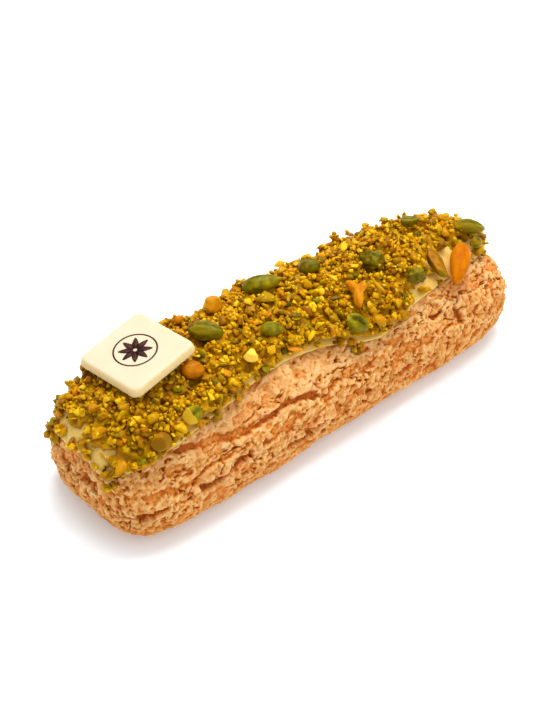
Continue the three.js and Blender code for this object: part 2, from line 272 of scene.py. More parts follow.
# The hollows are painted darker, which is painted shade. Close under the icing, where the crown tore least, that
# painted shade is lifted: painted light. The shell's colour shows where the dough tore or no plate lies.
crown_painted_light = 0.2 * smoothstep(18.5, 23, above)
paint(choux_crust, "hollow", np.clip(0.34 - crown_painted_light + hollow / 0.95, 0, 1))
paint(choux_crust, "shell", np.maximum(torn_open, 1 - plates))


def srgb(red, green, blue):
    """A colour as a picture shows it, 0 to 255, as the light values that a shader takes."""
    shares = (red / 255, green / 255, blue / 255)
    return (*(s / 12.92 if s <= 0.04045 else ((s + 0.055) / 1.055) ** 2.4 for s in shares), 1)


def add(tree, kind, inputs=(), **settings):
    """A shader node with its settings, and its inputs set to values or linked to other sockets."""
    made = tree.nodes.new("ShaderNode" + kind)
    for name, value in settings.items():
        setattr(made, name, value)
    for name, value in dict(inputs).items():
        if isinstance(value, bpy.types.NodeSocket):
            tree.links.new(value, made.inputs[name])
        else:
            made.inputs[name].default_value = value
    return made


def new_material(name, **shader_values):
    """A material with one Principled shader, its node tree, the shader and the Object coordinates."""
    material = bpy.data.materials.new(name)
    material.use_nodes = True
    tree = material.node_tree
    shader = tree.nodes["Principled BSDF"]
    for socket, value in shader_values.items():
        shader.inputs[socket.replace("_", " ")].default_value = value
    coordinates = add(tree, "TexCoord").outputs["Object"]
    return material, tree, shader, coordinates


def speckle(tree, coordinates, size, detail=3.0, roughness=0.55):
    """Noise with features of about that size, 0 to 1."""
    inputs = {"Vector": coordinates, "Scale": 1 / size, "Detail": detail, "Roughness": roughness}
    return add(tree, "TexNoise", inputs).outputs["Fac"]


def ramp(tree, value, *stops):
    """Colours or greys at places from 0 to 1, read by a value."""
    made = add(tree, "ValToRGB", {"Fac": value})
    elements = made.color_ramp.elements
    while len(elements) < len(stops):
        elements.new(0.5)
    for element, (place, colour) in zip(elements, stops):
        element.position = place
        element.color = colour if isinstance(colour, tuple) else (colour, colour, colour, 1)
    return made.outputs["Color"]


def mixed(tree, share, first, second, blend="MIX"):
    """The first colour turned towards the second by a share."""
    made = add(tree, "Mix", {0: share, 6: first, 7: second}, data_type="RGBA", blend_type=blend)
    return made.outputs[2]


def painted(tree, name):
    return add(tree, "Attribute", attribute_name=name).outputs["Fac"]


def math_of(tree, operation, first, second):
    return add(tree, "Math", {0: first, 1: second}, operation=operation).outputs[0]


def share_between(tree, value, start, end):
    """0 at the start value, 1 at the end value."""
    return add(tree, "MapRange", {"Value": value, "From Min": start, "From Max": end}).outputs["Result"]


def bumped(tree, shader, height_value, depth, strength=1.0):
    """Fine relief from a value, as deep as given."""
    inputs = {"Height": height_value, "Distance": depth, "Strength": strength}
    tree.links.new(add(tree, "Bump", inputs).outputs["Normal"], shader.inputs["Normal"])


PORE_SPACING = 1.1 * MM
BISCUIT_GRAIN = 0.75 * MM
crust_finish, tree, shader, coordinates = new_material(
    "baked_crust",
    Roughness=0.7,
    Specular_IOR_Level=0.16,
    Subsurface_Weight=0.5,
    Subsurface_Radius=(1.0, 0.4, 0.12),
    Subsurface_Scale=1.5 * MM,
)
fine_crumb = speckle(tree, coordinates, 0.8 * MM, 4, 0.5)
# The biscuit is painted darker in the hollows and where the fine crumbs dip: painted shade.
crumb_gap_shade = share_between(tree, fine_crumb, 0.62, 0.36)
blotches = speckle(tree, coordinates, 4.5 * MM, 4, 0.6)
hollow_shade = math_of(tree, "ADD", painted(tree, "hollow"), math_of(tree, "MULTIPLY", crumb_gap_shade, 0.22))
hollow_shade = math_of(tree, "SUBTRACT", hollow_shade, 0.12)
biscuit = ramp(
    tree,
    hollow_shade,
    (0.04, srgb(232, 189, 132)),
    (0.2, srgb(225, 171, 106)),
    (0.36, srgb(216, 154, 82)),
    (0.52, srgb(198, 116, 32)),
    (0.7, srgb(170, 82, 4)),
    (0.94, srgb(128, 50, 0)),
)
height_above_table = add(tree, "SeparateXYZ", {"Vector": coordinates}).outputs["Z"]
foot_share = math_of(tree, "MULTIPLY", share_between(tree, height_above_table, 15 * MM, 2 * MM), 0.5)
biscuit = mixed(tree, foot_share, biscuit, srgb(235, 205, 150), "MULTIPLY")
blotch_shade = ramp(tree, blotches, (0.36, srgb(236, 222, 206)), (0.62, srgb(255, 255, 255)))
biscuit = mixed(tree, 1.0, biscuit, blotch_shade, "MULTIPLY")
shell = ramp(tree, fine_crumb, (0.3, srgb(200, 116, 44)), (0.65, srgb(228, 152, 78)))
biscuit = mixed(tree, math_of(tree, "MULTIPLY", painted(tree, "shell"), 0.4), biscuit, shell)
pore_spots = add(tree, "TexVoronoi", {"Vector": coordinates, "Scale": 1 / PORE_SPACING})
pores = share_between(tree, pore_spots.outputs["Distance"], 0.36, 0.10)
pores = math_of(tree, "MULTIPLY", pores, share_between(tree, blotches, 0.44, 0.56))
# The pores are painted a darker orange: painted shade in them.
biscuit = mixed(tree, math_of(tree, "MULTIPLY", pores, 0.6), biscuit, srgb(196, 96, 22))
tree.links.new(biscuit, shader.inputs["Base Color"])
grain_spots = add(tree, "TexVoronoi", {"Vector": coordinates, "Scale": 1 / BISCUIT_GRAIN}, feature="SMOOTH_F1")
domes = math_of(tree, "SUBTRACT", fine_crumb, math_of(tree, "MULTIPLY", grain_spots.outputs["Distance"], 0.7))
bumped(tree, shader, math_of(tree, "SUBTRACT", domes, math_of(tree, "MULTIPLY", pores, 0.3)), 0.34 * MM)
choux_crust.data.materials.append(crust_finish)
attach(choux_crust, "root")
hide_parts("choux_bun")


# ---------------------------------------------------------------- the sugar on the crust
# Coarse sugar from the biscuit dough that did not melt in the oven, as white specks on the plates.

SUGAR_GRAINS = 170
SUGAR_SIZE = (0.24, 0.46)  # mm


def points_and_faces(shape):
    """A bmesh's points and triangles as plain arrays. The bmesh is used up. A hull's faces come in no
    fixed order, so the triangles are sorted."""
    bmesh.ops.triangulate(shape, faces=shape.faces)
    bmesh.ops.recalc_face_normals(shape, faces=shape.faces)
    shape.verts.index_update()
    points = np.array([v.co for v in shape.verts])
    faces = np.array([[v.index for v in f.verts] for f in shape.faces])
    shape.free()
    lowest_first = (faces.argmin(axis=1)[:, None] + np.arange(3)) % 3
    faces = np.take_along_axis(faces, lowest_first, axis=1)
    return points, faces[np.lexsort(faces.T[::-1])]


def bead(seed, unevenness=0.55):
    """A small rounded grain, one unit long."""
    dice = np.random.default_rng(seed)
    shape = bmesh.new()
    bmesh.ops.create_icosphere(shape, subdivisions=1, radius=0.5)
    for vertex in shape.verts:
        vertex.co *= 1 + unevenness * (dice.random() - 0.5)
    bmesh.ops.scale(shape, verts=shape.verts, vec=(1, 0.8 + 0.2 * dice.random(), 0.85))
    return points_and_faces(shape)


def laid_on(normal, dice, tilt, heading=None):
    """A turn that lays a piece's flat side on a surface, tipped a little, with its length along a
    heading in plan, in radians, or anywhere."""
    out = Vector(np.asarray(normal) + tilt * dice.normal(size=3)).normalized()
    heading = dice.random() * math.tau if heading is None else heading
    along = Vector((math.cos(heading), math.sin(heading), 0.01))
    along = (along - out * along.dot(out)).normalized()
    return np.array(Matrix((along, out.cross(along), out)).transposed())


def scattered(name, pieces):
    """One object of many small pieces: each is its shape, its place, its turn, its size and its tint."""
    points = [shape[0] * size @ turn.T + place for shape, place, turn, size, _ in pieces]
    starts = np.cumsum([0] + [len(p) for p in points])
    faces = [shape[1] + start for (shape, *_), start in zip(pieces, starts)]
    mesh = bpy.data.meshes.new(name)
    mesh.from_pydata(np.concatenate(points) * MM, [], np.concatenate(faces))
    mesh.shade_smooth()
    obj = bpy.data.objects.new(name, mesh)
    bpy.context.scene.collection.objects.link(obj)
    paint(obj, "tint", np.concatenate([np.full(len(p), piece[-1]) for p, piece in zip(points, pieces)]))
    return obj


dice = np.random.default_rng(7)
on_plates = np.flatnonzero(is_open & (above > 3) & (hollow < -0.02) & (torn_open < 0.1))
sugar_shapes = [bead(seed, 0.5) for seed in range(5)]
sugar = []
for pick in dice.choice(on_plates, SUGAR_GRAINS, replace=False):
    size = SUGAR_SIZE[0] + (SUGAR_SIZE[1] - SUGAR_SIZE[0]) * dice.random()
    place = moved[pick] + 0.1 * size * crust_normals[pick]
    turn = laid_on(crust_normals[pick], dice, 0.8)
    sugar.append((sugar_shapes[dice.integers(5)], place, turn, size, dice.random()))
sugar_specks = scattered("sugar_specks", sugar)
sugar_finish, tree, shader, coordinates = new_material(
    "unmelted_sugar", Roughness=0.25, Specular_IOR_Level=0.5, Subsurface_Weight=0.4, Subsurface_Scale=0.5 * MM
)
sugar_colour = ramp(tree, painted(tree, "tint"), (0.0, srgb(247, 216, 168)), (1.0, srgb(255, 240, 214)))
tree.links.new(sugar_colour, shader.inputs["Base Color"])
sugar_specks.data.materials.append(sugar_finish)
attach(sugar_specks, "root")


# ---------------------------------------------------------------- the icing
# Pale fondant poured along the crown while warm. It is smooth, a little translucent, and it set with a
# rounded, wandering edge.

icing_shape = joined_copy("icing")
bmesh.ops.subdivide_edges(icing_shape, edges=icing_shape.edges, cuts=1, use_grid_fill=True, smooth=0.8)
icing_shape.normal_update()
icing_points, icing_normals = places_and_normals(icing_shape)
icing_wave = noise_at(icing_points, 7) + 0.5 * noise_at(icing_points, 2.6)
# The edge wanders in and out, and the crumbling crust hides it in places.
icing_rim = 1 - smoothstep(0.25, 0.7, icing_normals[:, 2])
icing_swell = 0.2 * icing_wave + icing_rim * (0.7 * noise_at(icing_points, 3.4, 23) - 0.4)
for vertex, point in zip(icing_shape.verts, icing_points + icing_normals * icing_swell[:, None]):
    vertex.co = Vector(point) * MM
icing = as_object("poured_icing", icing_shape)
icing_rounding = icing.modifiers.new("rounding", "SUBSURF")
icing_rounding.levels = icing_rounding.render_levels = 1
icing_finish, tree, shader, coordinates = new_material(
    "fondant",
    Roughness=0.38,
    Specular_IOR_Level=0.25,
    Subsurface_Weight=0.45,
    Subsurface_Radius=(1.0, 0.7, 0.25),
    Subsurface_Scale=1.6 * MM,
)
cream = ramp(
    tree,
    speckle(tree, coordinates, 5 * MM, 3),
    (0.3, srgb(216, 174, 88)),
    (0.5, srgb(224, 186, 104)),
    (0.7, srgb(232, 198, 120)),
)
tree.links.new(cream, shader.inputs["Base Color"])
bumped(tree, shader, speckle(tree, coordinates, 1.6 * MM, 3), 0.08 * MM, 0.5)
icing.data.materials.append(icing_finish)
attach(icing, "root")
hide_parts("icing")


# ---------------------------------------------------------------- the bed of ground nuts
# Pistachios ground to a coarse meal and pressed into the icing. The bed under the loose pieces is one
# caked, lumpy layer of grains, and it leaves the icing bare in a few spots.

BED_VOXEL = 0.44 * MM
BED_SINK = 1.7  # mm that the middle of the caked layer lies below the outline of the whole heap
# Lumps that cake together into the layer: how many, their sizes in mm and the share of its size that a
# lump's middle stands above what is under it. The coarse ones lie first.
LUMPS = [(1150, 2.0, 4.0, 0.26), (2600, 0.9, 1.7, 0.2)]
LUMP_SHAPES = 12
# Grains that slid over the edge of the icing onto the crust: the middle of each slide in plan and its
# reach in mm.
SLIDES = [((-62.6, -11.6), 1.5), ((-34.5, -13.9), 1.6), ((8.6, -15.2), 1.4), ((-63.6, 11.0), 1.6)]
# Where the icing is bare, the bed is drawn in towards a line through the middle of the finger, in mm.
BARE_DEPTH = 4.6
CORE_ENDS = (-50, 50)
CORE_HEIGHT = 12
# Bare spots of the icing: two ends of a line in plan and the spot's half-width, in mm.
BARE_SPOTS = [
    ((-62.2, 0.2), (-64.6, 4.0), 1.5),
    ((-63.2, 6.5), (-63.8, 9.0), 1.2),
    ((-58.9, 8.8), (-58.6, 8.9), 0.9),
    ((-53.0, 7.9), (-53.2, 12.2), 0.9),
    ((-56.0, 4.8), (-55.6, 5.2), 0.7),
    ((-63.4, -6.3), (-62.5, -8.8), 1.3),
    ((-61.9, -8.8), (-60.6, -11.2), 1.1),
    ((-60.6, -11.2), (-57.9, -14.3), 1.1),
    ((-46.3, -8.0), (-45.6, -8.1), 0.8),
    ((-39.3, -9.5), (-38.2, -9.7), 0.8),
    ((-23.4, 12.3), (-22.4, 12.5), 0.9),
    ((-0.4, 7.2), (0.9, 6.9), 0.8),
    ((-22.5, -3.1), (-21.5, -3.3), 0.6),
    ((-10.0, -9.9), (-9.2, -10.1), 0.7),
    ((-16.8, -11.9), (-3.7, -12.0), 0.9),
    ((-27.0, -10.9), (-22.0, -11.6), 0.8),
    ((6.4, -9.2), (6.7, -13.6), 1.1),
    ((28.0, -13.3), (37.7, -10.7), 1.2),
    ((37.7, -10.7), (46.8, -8.2), 1.7),
    ((43.0, -7.0), (50.0, -6.5), 2.2),
    ((49.8, -2.2), (50.0, -5.6), 1.6),
    ((54.5, -6.4), (57.5, -6.0), 1.7),
]


def bareness(points):
    """1 in the middle of a bare spot of icing, 0 outside, for points in mm."""
    frayed = 0.45 * noise_at(points, 1.6, 51) + 0.25 * noise_at(points, 0.8, 53)
    in_plan = points[:, :2]
    share = np.zeros(len(points))
    for start, end, half_width in BARE_SPOTS:
        away = distance_to_line(in_plan, [start, end]) / half_width
        share = np.maximum(share, 1 - smoothstep(0.85, 1.1, away + frayed))
    return share


def chip(seed, breadth=0.85, thickness=0.62):
    """One broken piece of nut, one unit long: the hull of a few corners, with its edges worn round."""
    dice = np.random.default_rng(seed)
    corners = dice.normal(size=(9, 3))
    corners *= (0.44 + 0.1 * dice.random((9, 1))) / np.linalg.norm(corners, axis=1, keepdims=True)
    corners *= np.array([1.0, breadth, thickness]) * (0.85 + 0.3 * dice.random(3))
    shape = bmesh.new()
    for corner in corners:
        shape.verts.new(corner)
    hull = bmesh.ops.convex_hull(shape, input=shape.verts)
    inner = dict.fromkeys(g for g in hull["geom_interior"] if isinstance(g, bmesh.types.BMVert))
    bmesh.ops.delete(shape, geom=list(inner), context="VERTS")
    bmesh.ops.bevel(
        shape,
        geom=shape.edges,
        offset=0.07,
        segments=1,
        affect="EDGES",
        profile=0.5,
        material=-1,
        clamp_overlap=True,
    )
    return points_and_faces(shape)


def triangles_of(obj):
    """The points in mm and the triangles of an object's own mesh."""
    mesh = obj.data
    mesh.calc_loop_triangles()
    points = np.zeros(len(mesh.vertices) * 3)
    mesh.vertices.foreach_get("co", points)
    faces = np.zeros(len(mesh.loop_triangles) * 3, int)
    mesh.loop_triangles.foreach_get("vertices", faces)
    return points.reshape(-1, 3) / MM, faces.reshape(-1, 3)


def tree_of(points, faces):
    return BVHTree.FromPolygons(points.tolist(), faces.tolist())


def landing(place, fall, reach, trees):
    """Where something that falls from a place first meets what lies there, and how far it fell."""
    where, distance = None, reach
    for tree in trees:
        hit, _, _, travelled = tree.ray_cast(place, fall, distance)
        if hit is not None:
            where, distance = np.array(hit), travelled
    return where, distance


icing_surface = triangles_of(icing)
crust_surface = triangles_of(choux_crust)
under_nuts = [tree_of(*icing_surface), tree_of(*crust_surface)]


def strewn_over(bed):
    """Where nuts can start to fall: above the bed, above the icing where the bed stops short of its edge,
    and at the slides. Gives each triangle's middle, the way it faces and its chance."""
    bed_surface = triangles_of(bed)
    bed_tree = tree_of(*bed_surface)
    middles, facing, area, kind = [], [], [], []
    for i, (points, faces) in enumerate((bed_surface, icing_surface, crust_surface)):
        corners = points[faces]
        outwards = np.cross(corners[:, 1] - corners[:, 0], corners[:, 2] - corners[:, 0])
        length = np.linalg.norm(outwards, axis=1)
        middles.append(corners.mean(axis=1))
        facing.append(outwards / (length[:, None] + 1e-12))
        area.append(length / 2)
        kind.append(np.full(len(faces), i))
    middles, facing, area, kind = map(np.concatenate, (middles, facing, area, kind))
    away = [np.linalg.norm(middles[:, :2] - middle, axis=1) / reach for middle, reach in SLIDES]
    slides = (kind == 2) & (np.min(away, axis=0) < 1) & (middles[:, 2] > 17)
    allowed = slides | ((kind < 2) & (facing[:, 2] > 0) & (bareness(middles) < 0.35))
    for i in np.flatnonzero(allowed & (kind > 0)):
        start = Vector(middles[i] + 0.05 * facing[i])
        allowed[i] = bed_tree.ray_cast(start, Vector(facing[i]), 5)[0] is None
    chance = area * allowed
    return middles, facing, chance / chance.sum()


core_shape = refined(joined_copy("nut_heap"), 0, 2 * BED_VOXEL)
smoothed(core_shape, 2)
core_points, core_normals = places_and_normals(core_shape)
core_line = np.zeros_like(core_points)
core_line[:, 0] = np.clip(core_points[:, 0], *CORE_ENDS)
core_line[:, 2] = CORE_HEIGHT
inwards = core_line - core_points
inwards /= np.linalg.norm(inwards, axis=1)[:, None]
sink = BED_SINK * smoothstep(0.1, 0.7, core_normals[:, 2])
drawn_in = BARE_DEPTH * smoothstep(0.05, 0.4, bareness(core_points))
core_moved = core_points - core_normals * sink[:, None] + inwards * drawn_in[:, None]
for vertex, point in zip(core_shape.verts, core_moved):
    vertex.co = Vector(point) * MM
bed_core = as_object("bed_core", core_shape)

plaque_points, plaque_faces = triangles_of(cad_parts["plaque"])
plaque_tree = tree_of(plaque_points, plaque_faces)
middles, facing, chance = strewn_over(bed_core)
dice = np.random.default_rng(31)
lump_shapes = [chip(seed, 0.9, 0.75) for seed in range(LUMP_SHAPES)]
lumps = []
lying = [tree_of(*triangles_of(bed_core)), *under_nuts]
for count, smallest, largest, rise in LUMPS:
    layer = []
    for pick in dice.choice(len(chance), count, p=chance):
        size = smallest + (largest - smallest) * dice.random() ** 1.5
        place, _ = landing(Vector(middles[pick] + 5 * facing[pick]), Vector(-facing[pick]), 6, lying)
        if place is None:
            continue
        place = place + facing[pick] * rise * size
        if plaque_tree.find_nearest(Vector(place))[3] < 0.6 * size:
            continue
        turn = laid_on(facing[pick], dice, 0.4)
        layer.append((lump_shapes[dice.integers(LUMP_SHAPES)], place, turn, size, dice.random()))
    strewn = scattered("strewn_lumps", layer)
    lying.append(tree_of(*triangles_of(strewn)))
    bpy.data.objects.remove(strewn)
    lumps += layer
loose_lumps = scattered("loose_lumps", lumps)
caked = bmesh.new()
caked.from_mesh(bed_core.data)
caked.from_mesh(loose_lumps.data)
bpy.data.objects.remove(bed_core)
bpy.data.objects.remove(loose_lumps)
bed_shape = refined(caked, 0, BED_VOXEL)
smoothed(bed_shape, 1)
bed_points, bed_normals = places_and_normals(bed_shape)
around = np.stack([spread(bed_shape, bed_points[:, axis], 10) for axis in range(3)], axis=1)
bed_hollow = ((around - bed_points) * bed_normals).sum(axis=1)
lump_tree = KDTree(len(lumps))
for i, (_, place, _, _, _) in enumerate(lumps):
    lump_tree.insert(place, i)
lump_tree.balance()
lump_tint = np.zeros(len(bed_points))
for i, point in enumerate(bed_points):
    nearest = min(lump_tree.find_n(point, 5), key=lambda found: found[2] / lumps[found[1]][3])
    lump_tint[i] = lumps[nearest[1]][4]
nut_bed = as_object("nut_bed", bed_shape)
paint(nut_bed, "tint", lump_tint)
paint(nut_bed, "hollow", np.clip(0.35 + bed_hollow / 1.0, 0, 1))

GOLD = (srgb(122, 78, 0), srgb(164, 116, 0), srgb(188, 140, 0), srgb(206, 159, 4), srgb(224, 182, 22))
OLIVE = (srgb(104, 84, 0), srgb(140, 110, 0), srgb(166, 130, 0), srgb(186, 148, 4), srgb(212, 172, 18))
GREEN = (srgb(66, 62, 0), srgb(98, 90, 0), srgb(130, 118, 0), srgb(158, 142, 2), srgb(192, 172, 16))
YELLOW = (srgb(196, 150, 2), srgb(210, 168, 8), srgb(222, 182, 20), srgb(230, 194, 40), srgb(236, 204, 70))
AMBER = (srgb(122, 70, 0), srgb(156, 102, 0), srgb(178, 123, 1), srgb(196, 140, 3), srgb(214, 160, 14))
TOASTED = (srgb(162, 98, 0), srgb(186, 117, 0), srgb(202, 133, 1), srgb(214, 149, 4), srgb(224, 164, 16))
SKIN = (srgb(70, 50, 10), srgb(96, 74, 14), srgb(118, 94, 20), srgb(134, 112, 30), srgb(150, 126, 60))


def nut_material(name, shades, roughness=0.34, clearness=0.45, mottle_size=0.8 * MM, mottle=0.35, shine=0.15):
    """Oily nut flesh. Its shades, dark to light, are chosen by each piece's tint and a fine mottling."""
    material, tree, shader, coordinates = new_material(
        name,
        Roughness=roughness,
        Specular_IOR_Level=shine,
        Subsurface_Weight=clearness,
        Subsurface_Radius=(0.8, 0.5, 0.05),
        Subsurface_Scale=0.8 * MM,
    )
    mottling = share_between(tree, speckle(tree, coordinates, mottle_size, 3), 0.25, 0.75)
    tint = math_of(tree, "MULTIPLY", painted(tree, "tint"), 1 - mottle)
    shade = math_of(tree, "ADD", tint, math_of(tree, "MULTIPLY", mottling, mottle))
    places = (0.08, 0.32, 0.52, 0.74, 0.94)
    flesh = ramp(tree, shade, *zip(places, shades))
    tree.links.new(flesh, shader.inputs["Base Color"])
    bumped(tree, shader, speckle(tree, coordinates, 0.35 * MM, 3), 0.07 * MM, 0.7)
    return material, tree, shader, flesh


CAKED = (OLIVE[1], AMBER[2], OLIVE[2], GOLD[2], GOLD[3])
bed_finish, tree, shader, flesh = nut_material("ground_nut", CAKED, 0.34, 0.3, mottle=0.2)
# Darker in the gaps between the lumps: painted shade.
shade_in_gaps = ramp(tree, painted(tree, "hollow"), (0.4, 0.0), (1.0, 1.0))
tree.links.new(mixed(tree, shade_in_gaps, flesh, srgb(124, 74, 0)), shader.inputs["Base Color"])
nut_bed.data.materials.append(bed_finish)
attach(nut_bed, "root")
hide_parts("nut_heap")


# ---------------------------------------------------------------- the larger kernels
# Whole, split and broken pistachios, toasted pieces and one pine nut, dropped on last and pressed in a
# little. Skins are wrinkled lengthwise. Cut and broken faces show the paler flesh.

PINE = (srgb(166, 91, 0), srgb(184, 104, 1), srgb(194, 115, 2), srgb(201, 125, 4), srgb(205, 134, 10))
# Node, record slot, skin shades, flesh, how many faces are broken off, and the depth of the wrinkles and
# of the groove between the seed leaves, in mm.
KERNELS = [
    ("pistachio_back", "green_pistachio", GREEN, srgb(150, 146, 20), 0, 0.10, 0.15),
    ("pistachio_dark", "dark_pistachio", GREEN[:3] + OLIVE[1:3], srgb(190, 130, 30), 2, 0.28, 0.3),
    ("pistachio_middle", "green_pistachio", GREEN, srgb(150, 146, 20), 0, 0.14, 0.2),
    ("pistachio_olive", "dark_pistachio", OLIVE[:2] + GREEN[1:4], srgb(160, 140, 14), 1, 0.3, 0.2),
    ("pistachio_curled", "green_pistachio", GREEN[:4] + YELLOW[:1], srgb(214, 190, 20), 0, 0.2, 1.1),
    ("pistachio_far_end", "dark_pistachio", GREEN[:3] + OLIVE[1:3], srgb(150, 120, 10), 2, 0.3, 0.7),
    ("pistachio_wedge", "dark_pistachio", SKIN[1:3] + AMBER[1:4], srgb(150, 132, 16), 1, 0.25, 0.0),
    ("pistachio_pair", "dark_pistachio", GREEN[:3] + OLIVE[1:3], srgb(140, 130, 30), 0, 0.2, 0.5),
    ("pistachio_cut", "green_pistachio", GREEN, srgb(236, 196, 60), 0, 0.1, 0.0),
    ("pistachio_rough", "green_pistachio", GREEN[:3] + OLIVE[1:3], srgb(116, 98, 0), 6, 0.6, 0.0),
    ("pistachio_rough_front", "dark_pistachio", GREEN[:3] + OLIVE[1:3], srgb(108, 90, 0), 6, 0.6, 0.0),
    ("pistachio_cube", "green_pistachio", OLIVE[:1] + GREEN[1:4] + OLIVE[2:3], srgb(150, 122, 2), 5, 0.12, 0.0),
    ("toasted_round", "toasted_nut", AMBER[1:2] + TOASTED[:4], srgb(200, 114, 6), 1, 0.10, 0.0),
    ("toasted_fork", "toasted_nut", TOASTED, srgb(240, 160, 50), 2, 0.22, 0.0),
    ("golden_chunk", "golden_nut", AMBER[1:] + GOLD[3:4], srgb(196, 132, 4), 4, 0.4, 0.0),
    ("almond_chunk", "golden_nut", YELLOW, srgb(242, 202, 88), 2, 0.12, 0.0),
    ("amber_chunk", "golden_nut", OLIVE[:2] + AMBER[1:4], srgb(138, 98, 0), 1, 0.18, 0.0),
    ("pine_nut", "toasted_nut", PINE, srgb(226, 130, 12), 0, 0.04, 0.0),
]

# Kernels that a knife went through: the way that each cut face looks, and the share of the reach it keeps.
CLEAN_CUTS = {
    "pistachio_cut": [(-0.9, -0.35, 0.25, 0.25)],
    "amber_chunk": [(-0.7, -0.6, 0.5, 0.62), (0.6, -0.6, 0.5, 0.66)],
    "almond_chunk": [(0.2, -0.3, 1.0, 0.66), (-0.5, -0.9, 0.3, 0.62), (0.9, -0.3, 0.2, 0.7)],
}

CRUMBLED = 6  # a kernel with this many broken faces is crumbled all over

kernels = []
for seed, (node, slot, shades, flesh_colour, breaks, wrinkle, groove) in enumerate(KERNELS):
    dice = np.random.default_rng(50 + seed)
    shape = refined(joined_copy(node), 1 if breaks > 1 else 2, 0.26 * MM)
    points, normals = places_and_normals(shape)
    centre = points.mean(axis=0)
    axes = np.linalg.svd(points - centre, full_matrices=False)[2]
    axes[2] *= np.sign(axes[2, 2])
    local = (points - centre) @ axes.T
    reach = np.abs(local).max(axis=0)
    stretched = local / np.array([3.2, 1.0, 1.0])
    folds = noise_at(stretched, 1.5, seed + 20) + 0.5 * noise_at(stretched, 0.7, seed + 40)
    seam_line = 0.25 * reach[1] * noise_at(local * np.array([1.0, 0, 0]), 3.0, seed)
    seam = np.exp(-(((local[:, 1] - seam_line) / 0.6) ** 2)) * smoothstep(-0.2, 0.4, local[:, 2] / reach[2])
    seam = seam * (1 - np.clip(np.abs(local[:, 0]) / reach[0], 0, 1) ** 4)
    points = points + normals * (wrinkle * folds - groove * seam)[:, None]
    broken = np.zeros(len(points))
    for _ in range(breaks):
        facing = dice.normal(size=3) * np.array([1.0, 1.0, 0.7])
        facing[2] = abs(facing[2])
        facing = facing / np.linalg.norm(facing) @ axes
        far = (points - centre) @ facing
        limit = far.max() * (0.66 + 0.2 * dice.random())
        cut = far > limit
        roughness = 0.12 * noise_at(points, 0.9, seed + 70)
        points = points - np.where(cut, far - limit + roughness, 0)[:, None] * facing
        broken = np.where(cut, 1, broken)
    for *side, kept in CLEAN_CUTS.get(node, ()):
        facing = np.array(side) / np.linalg.norm(side)
        far = (points - centre) @ facing
        limit = kept * far.max()
        points = points - np.where(far > limit, far - limit, 0)[:, None] * facing
        broken = np.where(far > limit, 1, broken)
    if breaks == CRUMBLED:
        crumble = 0.4 * noise_at(points, 1.1, seed + 80) + 0.25 * noise_at(points, 0.6, seed + 90)
        points = points + normals * crumble[:, None]
    for vertex, point in zip(shape.verts, points):
        vertex.co = Vector(point) * MM
    smoothed(shape, 0 if breaks == CRUMBLED else 2)
    kernel = as_object(node + "_kernel", shape)
    # Painted shade and painted light: each kernel's tint is darker in the wrinkles' hollows and in the groove, and
    # lighter on the raised folds.
    paint(kernel, "tint", np.clip(0.55 + 0.35 * folds - 0.3 * seam, 0, 1))
    paint(kernel, "broken", broken)
    shine = 0.05 if shades is PINE else 0.15
    finish, tree, shader, skin = nut_material(node + "_skin", shades, 0.36, 0.25, 1.6 * MM, 0.45, shine)
    shown = mixed(tree, math_of(tree, "MULTIPLY", painted(tree, "broken"), 0.8), skin, flesh_colour)
    tree.links.new(shown, shader.inputs["Base Color"])
    kernel.data.materials.append(finish)
    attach(kernel, "root")
    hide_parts(node)
    kernels.append(kernel)


# ---------------------------------------------------------------- the chopped nuts
# Chips, slivers and grains of pistachio and toasted nut, strewn over the bed by hand. Most grains lie
# between the chips, the chips lie across them, and a little meal is caught on top of everything.

# Kinds in the order they fall: name, shape, how many, sizes in mm, shades, and how much they keep to
# the hollows between what lies there already, from 0 to 1.
CRUMB_KINDS = [
    ("gold_grains", "bead", 480, (1.1, 2.1), GOLD, 0.0),
    ("gold_lumps", "chip", 130, (3.0, 5.2), GOLD, 0.0),
    ("olive_chips", "chip", 190, (2.0, 4.4), OLIVE, 0.2),
    ("amber_chips", "chip", 150, (2.2, 4.8), AMBER, 0.2),
    ("gold_chips", "chip", 260, (1.6, 3.8), GOLD[1:] + YELLOW[2:3], 0.2),
    ("green_chips", "chip", 40, (1.8, 3.4), GREEN, 0.4),
    ("toasted_chips", "chip", 30, (2.0, 4.2), TOASTED, 0.2),
    ("gold_slivers", "sliver", 60, (2.4, 4.4), AMBER[2:4] + GOLD[2:], 0.2),
    ("yellow_chips", "chip", 110, (1.4, 3.2), YELLOW, 0.2),
    ("skin_scraps", "sliver", 20, (2.0, 3.6), SKIN, 0.2),
    ("olive_grains", "bead", 420, (0.9, 1.5), OLIVE[2:] + GOLD[2:4], 0.5),
    ("bright_grains", "bead", 480, (0.8, 1.5), GOLD[1:] + YELLOW[1:2], 0.2),
    ("pale_meal", "bead", 240, (0.35, 0.7), YELLOW, 0.0),
]
